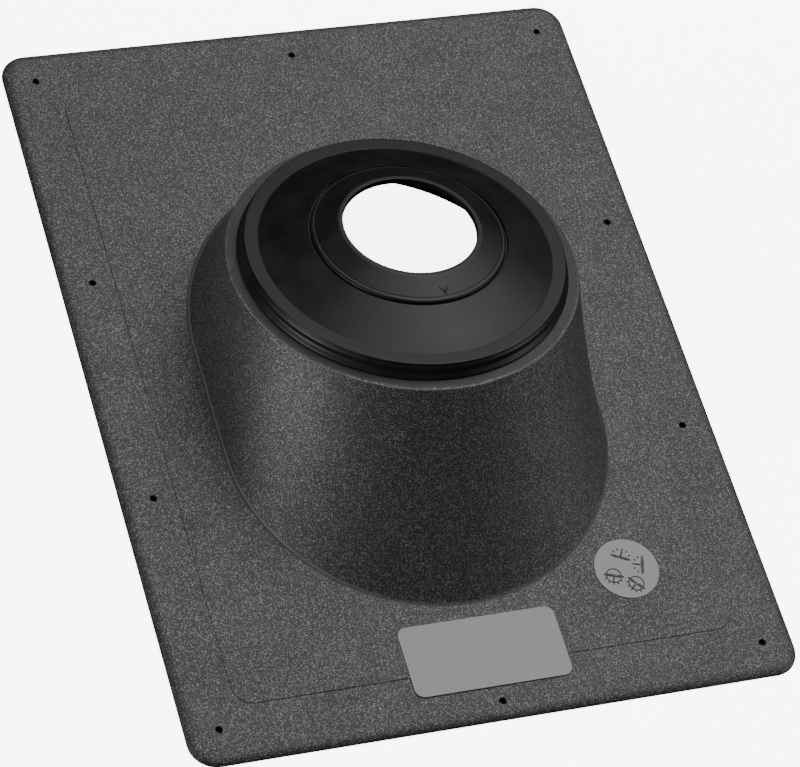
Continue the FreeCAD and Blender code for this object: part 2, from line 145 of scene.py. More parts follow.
class CollarSizes(bpy.types.PropertyGroup):
    """Sizes of the rubber collar, as radii from its tilted axis and heights from its rim band."""

    tilt: angle("Tilt", 11.7, "Lean of the axis towards the back")
    rim_y: length("Rim y", 20.6, "Middle of the rim, behind the origin")
    rim_z: length("Rim z", 69.5, "Middle of the rim, above the underside")
    fit_gap: length("Fit gap", 0.2, "Gap between the neck and the collar")
    rim_radius: length("Rim radius", 81.8, "Outer edge of the rim band")
    rim_round: length("Rim round", 0.8, "Rounding of the rim band's outer edge")
    band_inner: length("Band inner", 74.4, "Inner edge of the rim band")
    band_step: length("Band step", 0.5, "Rim band down to the foot of the cone")
    skirt_radius: length("Skirt radius", 82.4, "Upright part of the skirt")
    groove_radius: length("Groove radius", 81.4, "Skirt at the groove under the rim band")
    skirt_foot: length("Skirt foot", 84.2, "Skirt where it meets the shoulder")
    cone_wall: length("Cone wall", 2.2, "Wall of the cone, along the axis")
    lip_height: length("Lip height", 15.8, "Top of the hole's lip above the rim band")
    lip_width: length("Lip width", 2.4, "Flat top of the lip")
    lip_depth: length("Lip depth", 3.4, "Straight wall of the hole")
    hole_radius: length("Hole radius", 33.8, "Hole for the pipe")
    tear_radius: length("Tear radius", 49.2, "Inner edge of the tear groove")
    tear_width: length("Tear width", 1.4, "Width of the tear groove")
    tear_depth: length("Tear depth", 1.1, "Depth of the tear groove")
    pull_bead: length("Pull bead", 1.5, "Width of the bead beside the tear groove")
    pull_rise: length("Pull rise", 0.3, "Height of that bead")
    crease: length("Crease", 0.12, "Depth of the crease inside that bead")
    mark_tip: length("Mark tip", 46.2, "Tip of the pull mark, from the axis")
    mark_length: length("Mark length", 4.0, "Pull mark, along a radius")
    mark_width: length("Mark width", 4.6, "Pull mark across its open end")
    mark_turn: angle("Mark turn", 275.0, "Turn of the pull mark about the axis, from the right")
    mark_stroke: length("Mark stroke", 0.6, "Width of one of its strokes")
    mark_relief: length("Mark relief", 0.3, "Height of one of its strokes")


class PadSizes(bpy.types.PropertyGroup):
    """Sizes of the label pad and the date pad."""

    label_width: length("Label width", 82.5, "Label pad, side to side")
    label_length: length("Label length", 39.0, "Label pad, down the roof")
    label_corner: length("Label corner", 5.0, "Corner radius of the label pad")
    label_left: length("Label left", 1.0, "Middle of the label pad, left of the middle line")
    label_end: length("Label end", 36.85, "Middle of the label pad, from the front edge")
    date_radius: length("Date radius", 17.0, "Date pad")
    date_side: length("Date side", 73.65, "Middle of the date pad, from the right edge")
    date_end: length("Date end", 70.05, "Middle of the date pad, from the front edge")
    rise: length("Rise", 0.4, "Step up to either pad, from the field")
    edge: length("Edge", 0.2, "Rounding of either pad's edge")
    stroke: length("Stroke", 0.9, "Width of a raised stroke on the date pad")
    relief: length("Relief", 0.35, "Height of a raised stroke")
    dial_radius: length("Dial radius", 3.9, "Ring of a date dial")
    pointer: length("Pointer", 1.5, "Width of a dial's pointer")


class Finishes(bpy.types.PropertyGroup):
    """Colours and grain of the two materials."""

    plastic: colour("Plastic", "#040404", "Carbon-black polyethylene, the dark pebbles of its grain")
    # painted glints: the paler colour of the pebbles that catch the light
    plastic_painted_glint: colour("Plastic crests", "#5c5c5c", "The same on the pebbles that catch the light")
    # painted highlight: the paler colour of a line along the shoulder's rounded edge
    shoulder_highlight_colour: colour("Shoulder highlight", "#4a4a4a", "The same where an edge has been rubbed")
    # painted highlight: the paler colour on the left of the high side of the foot's round
    worn: colour("Foot highlight", "#404040", "The same where the round at the boot's foot is worn")
    pad: colour("Pad", "#2d2d2d", "The same plastic where the mould was polished")
    pad_haze: colour("Pad haze", "#353535", "The same under a faint grey haze")
    rubber: colour("Rubber", "#0b0b0b", "Carbon-black rubber")
    rubber_bloom: colour("Rubber bloom", "#131313", "The same rubber under its faint grey bloom")
    grain: length("Grain", 0.4, "Size of a pebble of the moulded grain")
    grain_depth: length("Grain depth", 0.12, "Height of a pebble")
    plastic_roughness: share("Plastic roughness", 0.5, "Roughness of the grained plastic")
    pad_roughness: share("Pad roughness", 0.3, "Roughness of the polished plastic")
    rubber_roughness: share("Rubber roughness", 0.42, "Roughness of the rubber")


class StudioSizes(bpy.types.PropertyGroup):
    """The floor, the lamps and the camera."""

    floor: length("Floor", 9000.0, "Side of the floor")
    white: colour("Floor colour", "#fafafa", "Colour of the floor")
    overhead: watts("Overhead", 126.0, "Softbox above and behind")
    left: watts("Left", 16.0, "Softbox at the left")
    right: watts("Right", 4.5, "Softbox at the right")
    lens: bpy.props.FloatProperty(name="Lens", description="Focal length of the camera",
                                  default=163.1, min=1, unit="CAMERA")


class FlashingSettings(bpy.types.PropertyGroup):
    """Everything that a user may change."""

    plate: bpy.props.PointerProperty(type=PlateSizes, name="Plate")
    boot: bpy.props.PointerProperty(type=BootSizes, name="Boot")
    collar: bpy.props.PointerProperty(type=CollarSizes, name="Collar")
    pads: bpy.props.PointerProperty(type=PadSizes, name="Pads")
    finish: bpy.props.PointerProperty(type=Finishes, name="Finishes")
    studio: bpy.props.PointerProperty(type=StudioSizes, name="Studio")


# ---------------------------------------------------------------- meshes

class Skin:
    """Points and faces of one closed piece, gathered from strips and flat faces that share their rings."""

    def __init__(self):
        self.points = []
        self.faces = []
        self.flat_faces = []
        self.count = 0

    def strip(self, rings, closed=False):
        """Quads from each ring to the next, every ring closed on itself; closed also joins last to first."""
        index = self.count + np.arange(rings.shape[0] * rings.shape[1]).reshape(rings.shape[:2])
        self.points.append(rings.reshape(-1, 3))
        self.count += index.size
        start, end = (index, np.roll(index, -1, 0)) if closed else (index[:-1], index[1:])
        quads = np.stack([start, np.roll(start, -1, 1), np.roll(end, -1, 1), end], -1)
        self.faces += quads.reshape(-1, 4).tolist()
        return index

    def flat(self, outer, holes=()):
        """Triangles of a level face between an outer ring and round holes, all of them convex."""
        rings = [outer, *holes]
        spots = np.concatenate(self.points)[np.concatenate(rings)][:, :2]
        which = np.repeat(np.arange(len(rings)), [len(ring) for ring in rings])
        starts = np.cumsum([0] + [len(ring) for ring in rings])
        edges = [np.stack([at + np.arange(size), at + (np.arange(size) + 1) % size], -1)
                 for at, size in zip(starts, map(len, rings))]
        made = delaunay_2d_cdt(spots.tolist(), np.concatenate(edges).tolist(), [], 1, 1e-9)
        source = np.array([first[0] for first in made[3]])
        corners = source[np.array(made[2])]
        inside = which[corners]
        in_hole = (inside[:, 0] > 0) & (inside[:, 0] == inside[:, 1]) & (inside[:, 1] == inside[:, 2])
        self.flat_faces += np.concatenate(rings)[corners[~in_hole]].tolist()

    def piece(self, name, material):
        """The finished piece of the object: it rides on the one body."""
        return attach(self.thing(name, material), "root")

    def thing(self, name, material):
        """The mesh as an object: its faces all turned outwards, its flat faces shaded flat."""
        mesh = bpy.data.meshes.new(name)
        mesh.from_pydata(np.concatenate(self.points).tolist(), [], self.faces + self.flat_faces)
        smooth = np.arange(len(mesh.polygons)) < len(self.faces)
        mesh.polygons.foreach_set("use_smooth", smooth)
        shell = bmesh.new()
        shell.from_mesh(mesh)
        bmesh.ops.recalc_face_normals(shell, faces=shell.faces)
        shell.to_mesh(mesh)
        shell.free()
        mesh.materials.append(material)
        thing = bpy.data.objects.new(name, mesh)
        bpy.context.scene.collection.objects.link(thing)
        # normals follow the larger faces, so that wide faces stay even right up to their rounded edges
        thing.modifiers.new("face_weighted_normals", "WEIGHTED_NORMAL").weight = 100
        return thing

    def mark(self, thing, name, points, value):
        """Keep a value on some points of the mesh, for its material to read; it is 0 on all others."""
        values = np.zeros(self.count, dtype=np.float32)
        values[np.ravel(points)] = np.ravel(value)
        thing.data.attributes.new(name, "FLOAT", "POINT").data.foreach_set("value", values)

    def ridge(self, start, end, width, relief, place):
        """A rounded bar between two spots of a sheet: its outline shrinks along a quarter circle as it rises.

        place turns sheet positions and heights into points; the bar starts its own relief below the sheet.
        """
        heading = math.atan2(end[1] - start[1], end[0] - start[0])
        shares, quarter = np.linspace(0, 1, 7), math.pi / 2
        levels = [(1.0, -1.0)] + [(max(math.cos(turn), 0.15), math.sin(turn))
                                  for turn in np.linspace(0, quarter, 5)]
        rings = []
        for narrow, height in levels:
            radius = width / 2 * narrow
            outline = np.concatenate([arc(*end, radius, heading - quarter, heading + quarter, shares),
                                      arc(*start, radius, heading + quarter, heading + 3 * quarter, shares)])
            rings.append(place(outline[:, 0], outline[:, 1], height * relief))
        made = self.strip(np.stack(rings))
        self.flat(made[0])
        self.flat(made[-1])

    def hoop(self, x, y, radius, width, relief, place):
        """A rounded bar bent to a circle: a half round section, closed below the sheet."""
        turns = np.linspace(0, math.pi, 7)
        section = [(1.0, -1.0), *zip(np.cos(turns), np.sin(turns)), (-1.0, -1.0)]
        rings = []
        for out, height in section:
            ring = circle(x, y, radius + out * width / 2, 40)
            rings.append(place(ring[:, 0], ring[:, 1], height * relief))
        self.strip(np.stack(rings), closed=True)


def arc(x, y, radius, start, end, shares):
    """Points on an arc: the middle plus the radius times the cosine and sine of the turned angle."""
    turned = start + (end - start) * shares
    return np.stack([x + radius * np.cos(turned), y + radius * np.sin(turned)], -1)


def rounded_rectangle(half_x, half_y, corner, x=0.0, y=0.0, steps=12):
    """Ring of a rectangle with four corner arcs, counter-clockwise from the right back corner."""
    shares = np.linspace(0, 1, steps)
    quarters = [(1, 1), (-1, 1), (-1, -1), (1, -1)]
    arcs = [arc(x + side * (half_x - corner), y + end * (half_y - corner), corner,
                turn * math.pi / 2, (turn + 1) * math.pi / 2, shares)
            for turn, (side, end) in enumerate(quarters)]
    return np.concatenate(arcs)


def at_height(ring, height):
    """A flat ring lifted to a height."""
    return np.concatenate([ring, np.full((len(ring), 1), height)], -1)


def circle(x, y, radius, steps):
    """Ring of a circle, counter-clockwise."""
    return arc(x, y, radius, 0, 2 * math.pi, np.arange(steps) / steps)


def blend_corner(start, corner, end, steps):
    """Rings of a rounded corner: (1 - t) squared of the start, 2 t (1 - t) of the corner, and t squared
    of the end, with t from 0 to 1."""
    part = np.linspace(0, 1, steps + 1)[:, None, None]
    return (1 - part) ** 2 * start + 2 * part * (1 - part) * corner + part ** 2 * end


def rounded_profile(corners, steps=5):
    """Closed section through (radius, height, rounding) corners, each rounded by that much.

    At a corner the line leaves the side that comes in by the rounding before the corner, and joins
    the side that goes out as far after it, along the curve of blend_corner.
    """
    spots = np.array([corner[:2] for corner in corners])
    sizes = np.array([corner[2] for corner in corners])[:, None]
    before = np.roll(spots, 1, 0) - spots
    after = np.roll(spots, -1, 0) - spots
    start = spots + before / np.linalg.norm(before, axis=1)[:, None] * sizes
    end = spots + after / np.linalg.norm(after, axis=1)[:, None] * sizes
    rings = blend_corner(start, spots, end, steps)
    return rings.transpose(1, 0, 2).reshape(-1, 2)


def tilted(collar, x, y, height):
    """Points given in the collar's own frame, put in place: its axis leans back about the rim's middle."""
    cosine, sine = math.cos(collar.tilt), math.sin(collar.tilt)
    return np.stack(np.broadcast_arrays(x, collar.rim_y + y * cosine + height * sine,
                                        collar.rim_z - y * sine + height * cosine), -1)


def cone_slope(collar):
    """Rise of the cone per length of radius, from the rim band's inner edge to the lip's foot."""
    return ((collar.lip_height + collar.band_step)
            / (collar.band_inner - collar.hole_radius - collar.lip_width))


def cone_height(collar, radius):
    """Height of the cone's face at a radius: a straight line up from the rim band's inner edge."""
    return (collar.band_inner - radius) * cone_slope(collar) - collar.band_step


# ---------------------------------------------------------------- materials

# noise scales in patches per metre: the melt's cloudiness 25 mm across, the polished face's haze 4.5 mm,
# the rubber's bloom 17 mm and its skin 1.1 mm
CLOUD_SCALE, HAZE_SCALE, BLOOM_SCALE, SKIN_SCALE = 40.0, 220.0, 60.0, 900.0
# how the grain's cells are turned off the axes; the share of pebbles that catch the light, which get the
# painted glint colour, how much duller the others and shinier these are than the plastic's roughness, and
# what the cloudiness adds
ASKEW = (0.6, 0.4, 0.2)
CREST_SHARE, DULLER, SHINIER, CLOUD_ROUGHNESS = 0.3, 0.1, 0.15, 0.12
GRAIN_STRENGTH, HAZE_STRENGTH, SKIN_STRENGTH = 0.5, 0.02, 0.2
# how much the bloom changes the rubber's roughness, and the rubber's mirror share, low as it is matt
BLOOM_SHINIER, BLOOM_DULLER, RUBBER_SPECULAR = 0.03, 0.05, 0.19


def add_node(tree, kind, inputs=(), **settings):
    """Add one node: settings are its own properties, inputs join or fill its sockets."""
    made = tree.nodes.new(kind)
    for name, value in settings.items():
        setattr(made, name, value)
    for socket, value in dict(inputs).items():
        if isinstance(value, bpy.types.NodeSocket):
            tree.links.new(value, made.inputs[socket])
        else:
            made.inputs[socket].default_value = value
    return made


def new_material(name):
    """An empty node material with its output."""
    made = bpy.data.materials.new(name)
    made.use_nodes = True
    made.node_tree.nodes.clear()
    return made, made.node_tree, made.node_tree.nodes.new("ShaderNodeOutputMaterial")


def rgba(value):
    """A colour with full alpha."""
    return (*value, 1.0)


def grained_polyethylene(finish):
    """Carbon-black polyethylene, injection moulded against a spark-eroded steel face.

    The eroded steel leaves fine pebbles, each tipped its own way: some catch the light and most stay dark, so
    the black face looks grey and speckled. Their glints are painted, as a paler colour on a share of the
    pebbles, besides the real bumps and shinier roughness. The real ones are finer; they are drawn as coarse
    as they have to be to show. The flow of the melt leaves a soft cloudiness over some centimetres.
    """
    made, tree, output = new_material("moulded_grained_polyethylene")
    place = add_node(tree, "ShaderNodeTexCoord").outputs["Object"]
    # turned off the axes, so that no level face lies along a row of cells
    askew = add_node(tree, "ShaderNodeMapping", {"Vector": place, "Rotation": ASKEW})
    pebbles = add_node(tree, "ShaderNodeTexVoronoi", {
        "Vector": askew.outputs["Vector"], "Scale": 1 / finish.grain})
    chance = add_node(tree, "ShaderNodeSeparateColor", {"Color": pebbles.outputs["Color"]})
    cloud = add_node(tree, "ShaderNodeTexNoise", {"Vector": place, "Scale": CLOUD_SCALE, "Detail": 3.0})
    # painted glints: a share of the pebbles gets the paler crest colour, as well as a shinier roughness
    crest = add_node(tree, "ShaderNodeMapRange", {
        "Value": chance.outputs["Red"], "From Min": 1 - CREST_SHARE, "From Max": 1.0})
    grained = add_node(tree, "ShaderNodeMix", {
        "Factor": crest.outputs["Result"], "A": rgba(finish.plastic), "B": rgba(finish.plastic_painted_glint)},
        data_type="RGBA")
    # light and shade painted into the plastic: a paler line painted along the shoulder's edge, for its
    # highlight; the ledge under the collar and the low side of the foot's round painted in the bare dark
    # tone, without the pale pebbles, for the shade there; and the round's high side painted paler on the
    # left, for a highlight
    tone = grained.outputs["Result"]
    for name, paint in (("rubbed", finish.shoulder_highlight_colour), ("plain", finish.plastic), ("worn", finish.worn)):
        amount = add_node(tree, "ShaderNodeAttribute", attribute_name=name).outputs["Fac"]
        tone = add_node(tree, "ShaderNodeMix", {"Factor": amount, "A": tone, "B": rgba(paint)},
                        data_type="RGBA").outputs["Result"]
    bump = add_node(tree, "ShaderNodeBump", {
        "Height": pebbles.outputs["Distance"], "Strength": GRAIN_STRENGTH,
        "Distance": finish.grain_depth}, invert=True)
    rough = add_node(tree, "ShaderNodeMapRange", {
        "Value": crest.outputs["Result"],
        "To Min": finish.plastic_roughness + DULLER, "To Max": finish.plastic_roughness - SHINIER})
    uneven = add_node(tree, "ShaderNodeMath", {
        0: cloud.outputs["Fac"], 1: CLOUD_ROUGHNESS, 2: rough.outputs["Result"]}, operation="MULTIPLY_ADD")
    shader = add_node(tree, "ShaderNodeBsdfPrincipled", {
        "Base Color": tone, "Roughness": uneven.outputs["Value"], "IOR": 1.5,
        "Normal": bump.outputs["Normal"]})
    tree.links.new(shader.outputs["BSDF"], output.inputs["Surface"])
    return made


def polished_polyethylene(finish):
    """The same polyethylene where the steel was polished: smooth, so it mirrors the soft light evenly."""
    made, tree, output = new_material("moulded_polished_polyethylene")
    place = add_node(tree, "ShaderNodeTexCoord").outputs["Object"]
    haze = add_node(tree, "ShaderNodeTexNoise", {"Vector": place, "Scale": HAZE_SCALE, "Detail": 3.0})
    veil = add_node(tree, "ShaderNodeMapRange", {
        "Value": haze.outputs["Fac"], "From Min": 0.3, "From Max": 0.7})
    mixed = add_node(tree, "ShaderNodeMix", {
        "Factor": veil.outputs["Result"], "A": rgba(finish.pad), "B": rgba(finish.pad_haze)},
        data_type="RGBA")
    bump = add_node(tree, "ShaderNodeBump", {
        "Height": haze.outputs["Fac"], "Strength": HAZE_STRENGTH, "Distance": 0.1 * MM})
    shader = add_node(tree, "ShaderNodeBsdfPrincipled", {
        "Base Color": mixed.outputs["Result"], "Roughness": finish.pad_roughness, "IOR": 1.5,
        "Normal": bump.outputs["Normal"]})
    tree.links.new(shader.outputs["BSDF"], output.inputs["Surface"])
    return made


def moulded_rubber(finish):
    """Carbon-black thermoplastic rubber, moulded against smooth steel.

    It is matt and even, with a faint grey bloom in patches where waxes have come to the surface.
    """
    made, tree, output = new_material("moulded_black_rubber")
    place = add_node(tree, "ShaderNodeTexCoord").outputs["Object"]
    bloom = add_node(tree, "ShaderNodeTexNoise", {"Vector": place, "Scale": BLOOM_SCALE, "Detail": 4.0})
    skin = add_node(tree, "ShaderNodeTexNoise", {"Vector": place, "Scale": SKIN_SCALE, "Detail": 1.0})
    veil = add_node(tree, "ShaderNodeMapRange", {
        "Value": bloom.outputs["Fac"], "From Min": 0.35, "From Max": 0.7})
    mixed = add_node(tree, "ShaderNodeMix", {
        "Factor": veil.outputs["Result"], "A": rgba(finish.rubber), "B": rgba(finish.rubber_bloom)},
        data_type="RGBA")
    rough = add_node(tree, "ShaderNodeMapRange", {
        "Value": bloom.outputs["Fac"], "From Min": 0.3, "From Max": 0.7,
        "To Min": finish.rubber_roughness - BLOOM_SHINIER, "To Max": finish.rubber_roughness + BLOOM_DULLER})
    bump = add_node(tree, "ShaderNodeBump", {
        "Height": skin.outputs["Fac"], "Strength": SKIN_STRENGTH, "Distance": 0.05 * MM})
    shader = add_node(tree, "ShaderNodeBsdfPrincipled", {
        "Base Color": mixed.outputs["Result"], "Roughness": rough.outputs["Result"], "IOR": 1.5,
        "Specular IOR Level": RUBBER_SPECULAR, "Normal": bump.outputs["Normal"]})
    tree.links.new(shader.outputs["BSDF"], output.inputs["Surface"])
    return made


def finish_of(make):
    """The material that a function makes, made once."""
    name = {grained_polyethylene: "moulded_grained_polyethylene",
            polished_polyethylene: "moulded_polished_polyethylene",
            moulded_rubber: "moulded_black_rubber"}[make]
    return bpy.data.materials.get(name) or make(bpy.context.scene.flashing.finish)


# ---------------------------------------------------------------- pieces

# points along one end and one side of each ring of the boot, and rings up each part of its wall
END_STEPS, SIDE_STEPS = 80, 24
FOOT_STEPS, WALL_STEPS, SHOULDER_STEPS, NECK_STEPS, HOLLOW_STEPS = 5, 39, 6, 3, 6
SHOULDER_START = FOOT_STEPS + WALL_STEPS
LEDGE_START = SHOULDER_START + SHOULDER_STEPS
# rings where light and shade are painted into the plastic, counted from the field up: the low side of the
# foot's round (painted shade) and its high side (painted highlight), the middle of the shoulder's rounded
# edge (painted highlight), and the ledge under the collar (painted shade)
FOOT_SHADE, FOOT_CREST = slice(1, 3), slice(3, FOOT_STEPS)
SHOULDER_EDGE = slice(SHOULDER_START + 3, SHOULDER_START + 4)
SHOULDER_LEDGE = slice(LEDGE_START, LEDGE_START + 2)
# where the painted highlight on the foot's round begins and reaches its full tone, left of the middle line
FOOT_HIGHLIGHT_FROM, FOOT_HIGHLIGHT_FULL = 30 * MM, 80 * MM

# the raised field's edge, a witness groove and then the rise: how far outside the field and above the
# plate, in mm
FIELD_STEP = ((0.6, 0), (0.35, -0.06), (0.15, -0.12), (0.05, -0.05), (0, 0.1), (-0.1, 0.26), (-0.3, 0.3))
NAIL_MOUTH = 0.15 * MM
NAIL_STEPS = 28
PAD_SUNK = 0.4 * MM

# the collar's skirt below the rim band: each corner's radius and what is added to it, its height and its
# rounding, in mm
SKIRT = (("groove_radius", 0, -1.1, 0.4), ("skirt_radius", 0.2, -2.6, 0.7), ("skirt_radius", 0, -4.6, 1.0),
         ("skirt_radius", 0.2, -5.6, 0.5), ("skirt_foot", 0, -7.5, 0.4))
CREASE_WIDTH = 0.5 * MM
COLLAR_STEPS = 320


def four_edges(back, left, front, right):
    """One ring from four edges, each a function of its shares from 0 up to 1."""
    ends, sides = (np.arange(steps) / steps for steps in (END_STEPS, SIDE_STEPS))
    return np.concatenate([back(ends), left(sides), front(ends), right(sides)])


def foot_ring(boot, inset):
    """The boot's foot: two half rounds joined by straight sides, inside the outer face by an inset."""
    radius = boot.foot_radius - inset

    def side(x, start, end):
        """A straight edge at one x, from one y to another."""
        return lambda shares: np.stack([np.full_like(shares, x), start + (end - start) * shares], -1)

    flat = four_edges(lambda shares: arc(0, boot.foot_back, radius, 0, math.pi, shares),
                      side(-radius, boot.foot_back, -boot.foot_front),
                      lambda shares: arc(0, -boot.foot_front, radius, math.pi, 2 * math.pi, shares),
                      side(radius, -boot.foot_front, boot.foot_back))
    return at_height(flat, 0.0)


def shoulder_ring(boot, collar, radius, height):
    """A circle about the collar's axis, at a height from the rim band, in step with the foot's edges."""
    turn, half = boot.shoulder_turn, math.pi
    spans = [(turn, half - turn), (half - turn, half + turn),
             (half + turn, 2 * half - turn), (2 * half - turn, 2 * half + turn)]
    flat = four_edges(*[lambda shares, span=span: arc(0, 0, radius, *span, shares) for span in spans])
    return tilted(collar, flat[:, 0], flat[:, 1], height)


def girth_ring(boot, collar, inset):
    """The boot at mid height: an oval of two tight ends and two wide sides, on a plane tilted half way."""
    seat_y = collar.rim_y - boot.shoulder_drop * math.sin(collar.tilt)
    seat_z = collar.rim_z - boot.shoulder_drop * math.cos(collar.tilt)
    reach = (boot.foot_radius + (boot.foot_front + boot.foot_back) / 2
             + boot.shoulder_radius * math.cos(collar.tilt))
    lean = math.atan(boot.shoulder_radius * math.sin(collar.tilt) / reach)
    half_length = reach / 2 / math.cos(lean) - boot.flare - inset
    half_width = (boot.foot_radius + boot.shoulder_radius) / 2 - boot.flare - inset
    tight = half_width - boot.girth_bulge
    end = half_length - tight
    wide = (tight ** 2 - half_width ** 2 - end ** 2) / (2 * (tight - half_width))
    side = wide - half_width
    turn, half = math.atan2(end, side), math.pi
    flat = four_edges(lambda shares: arc(0, end, tight, turn, half - turn, shares),
                      lambda shares: arc(side, 0, wide, half - turn, half + turn, shares),
                      lambda shares: arc(0, -end, tight, half + turn, 2 * half - turn, shares),
                      lambda shares: arc(-side, 0, wide, -turn, turn, shares))
    middle_y = (seat_y + (boot.foot_back - boot.foot_front) / 2) / 2
    return np.stack([flat[:, 0], middle_y + flat[:, 1] * math.cos(lean),
                     seat_z / 2 - flat[:, 1] * math.sin(lean)], -1)


def swept(foot, girth, top, shares):
    """The boot's wall: each upright line is the parabola through its foot, girth and top points."""
    return ((1 - shares) * (1 - 2 * shares) * foot + 4 * shares * (1 - shares) * girth
            + shares * (2 * shares - 1) * top)


def boot_rings(plate, boot, collar):
    """All rings of the boot's skin, from the field up the wall, over shoulder and neck and down inside."""
    seat = -boot.shoulder_drop
    foot, girth = foot_ring(boot, 0), girth_ring(boot, collar, 0)
    top = shoulder_ring(boot, collar, boot.shoulder_radius, seat)
    field_top = plate.thickness + plate.field_rise

    # where each upright line passes the field: z is a share's square times bend plus the share times rise
    bend = 2 * foot[:, 2] - 4 * girth[:, 2] + 2 * top[:, 2]
    rise = 4 * girth[:, 2] - 3 * foot[:, 2] - top[:, 2]
    start = (2 * field_top / (rise + np.sqrt(rise ** 2 + 4 * bend * field_top)))[:, None]
    corner = swept(foot, girth, top, start)
    step = 0.001
    slope = np.linalg.norm(swept(foot, girth, top, start + step) - corner, axis=1)[:, None] / step
    low = start + boot.foot_round / slope
    under_top = swept(foot, girth, top, np.full_like(start, 1 - step))
    high = 1 - boot.shoulder_round * step / np.linalg.norm(top - under_top, axis=1)[:, None]

    outward = foot[:, :2] - np.stack([np.zeros(len(foot)), np.clip(foot[:, 1], -boot.foot_front,
                                                                   boot.foot_back)], -1)
    outward = np.concatenate([outward / np.linalg.norm(outward, axis=1)[:, None],
                              np.zeros((len(foot), 1))], -1)
    on_field = corner + outward * boot.foot_round
    wall = [swept(foot, girth, top, low + (high - low) * part) for part in np.linspace(0, 1, WALL_STEPS + 1)]

    def ring(radius, height):
        """A ring about the collar's axis."""
        return shoulder_ring(boot, collar, radius, height)

    def neck_corner(*places):
        """A small round on the neck, from the radius and height of its start, sharp corner and end."""
        return blend_corner(*[ring(radius, height) for radius, height in places], NECK_STEPS)

    ledge = ring(boot.shoulder_radius - boot.shoulder_round, seat)
    outer, inner, edge = boot.neck_inner + boot.neck_wall, boot.neck_inner, boot.neck_round
    neck_top, under = seat + boot.neck_rise, seat - boot.shoulder_thickness
    inside = boot.wall
    inner_foot, inner_girth = foot_ring(boot, inside), girth_ring(boot, collar, inside)
    inner_top = ring(boot.shoulder_radius - inside, under)
    parts = [
        blend_corner(on_field, corner, wall[0], FOOT_STEPS)[:-1],
        wall[:-1],
        blend_corner(wall[-1], top, ledge, SHOULDER_STEPS),
        neck_corner((outer + edge, seat), (outer, seat), (outer, seat + edge)),
        neck_corner((outer, neck_top - edge), (outer, neck_top), (outer - edge, neck_top)),
        neck_corner((inner + edge, neck_top), (inner, neck_top), (inner, neck_top - edge)),
        neck_corner((inner, under + edge), (inner, under), (inner + edge, under)),
        [inner_top + (inner_girth - inner_top) * part for part in np.linspace(0, 1, HOLLOW_STEPS)],
        [inner_girth + (inner_foot - inner_girth) * part for part in np.linspace(0, 1, HOLLOW_STEPS)[1:]],
    ]
    return np.concatenate([np.asarray(part) for part in parts])


def nail_places(plate, half_x, half_y):
    """Middles of the ten nail holes: four corners, four along the sides, one at each end."""
    corner_x, corner_y = half_x - plate.corner_nail_side, half_y - plate.corner_nail_end
    side_x, side_y = half_x - plate.side_nail_side, plate.side_nail_spacing / 2
    signs = [(1, 1), (-1, 1), (-1, -1), (1, -1)]
    return ([(x * corner_x, y * corner_y) for x, y in signs] + [(x * side_x, y * side_y) for x, y in signs]
            + [(0, half_y - plate.back_nail_end), (0, plate.front_nail_end - half_y)])


class FLASHING_OT_base(bpy.types.Operator):
    """Make the moulded base: plate, raised field, nail holes, hollow boot, shoulder and neck"""

    bl_idname = "flashing.base"
    bl_label = "Moulded base"

    def execute(self, context):
        settings = context.scene.flashing
        plate, boot, collar = settings.plate, settings.boot, settings.collar
        half_x, half_y = BASE_HIGH.x, BASE_HIGH.y
        skin = Skin()

        # the rim: a quarter of an oval from the top face to the side, then a small round under it
        quarter = np.linspace(0, math.pi / 2, 13)
        low_quarter = np.linspace(0, math.pi / 2, 4)
        insets = np.concatenate([plate.edge_width * (1 - np.sin(quarter)),
                                 plate.arris * (1 - np.cos(low_quarter))])
        heights = np.concatenate([plate.thickness - plate.edge_drop * (1 - np.cos(quarter)),
                                  plate.arris * (1 - np.sin(low_quarter))])
        rim = skin.strip(np.stack([
            at_height(rounded_rectangle(half_x - inset, half_y - inset, plate.corner - inset), height)
            for inset, height in zip(insets, heights)]))

        field_x, field_y = half_x - plate.field_side, half_y - plate.field_end
        step = skin.strip(np.stack([
            at_height(rounded_rectangle(field_x + out * MM, field_y + out * MM,
                                        plate.field_corner + out * MM), plate.thickness + up * MM)
            for out, up in FIELD_STEP]))

        # nail holes: a small rounded mouth into a straight wall
        levels = ((NAIL_MOUTH, plate.thickness), (NAIL_MOUTH * 0.3, plate.thickness - NAIL_MOUTH * 0.3),
                  (0, plate.thickness - NAIL_MOUTH), (0, 0))
        nails = [skin.strip(np.stack([at_height(circle(x, y, plate.nail_radius + out, NAIL_STEPS), height)
                                      for out, height in levels]))
                 for x, y in nail_places(plate, half_x, half_y)]

        rings = boot_rings(plate, boot, collar)
        shell = skin.strip(rings)
        skin.flat(rim[0], [step[0], *[nail[0] for nail in nails]])
        skin.flat(step[-1], [shell[0]])
        skin.flat(rim[-1], [shell[-1], *[nail[-1] for nail in nails]])
        piece = skin.piece("base_moulding", finish_of(grained_polyethylene))
        # painted highlight: a paler line along the middle of the shoulder's rounded edge
        skin.mark(piece, "rubbed", shell[SHOULDER_EDGE], 1.0)
        # painted shade: the low side of the foot's round and the ledge under the collar keep the bare dark
        # tone, without the pale pebbles
        skin.mark(piece, "plain", np.concatenate([shell[FOOT_SHADE], shell[SHOULDER_LEDGE]]), 1.0)
        # painted highlight on the left only: it begins, and later reaches its full tone, so far from the
        # middle line
        worn = np.clip((-rings[FOOT_CREST][..., 0] - FOOT_HIGHLIGHT_FROM) / (FOOT_HIGHLIGHT_FULL - FOOT_HIGHLIGHT_FROM), 0, 1)
        skin.mark(piece, "worn", shell[FOOT_CREST], worn)
        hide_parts("flashing_base")
        return {"FINISHED"}


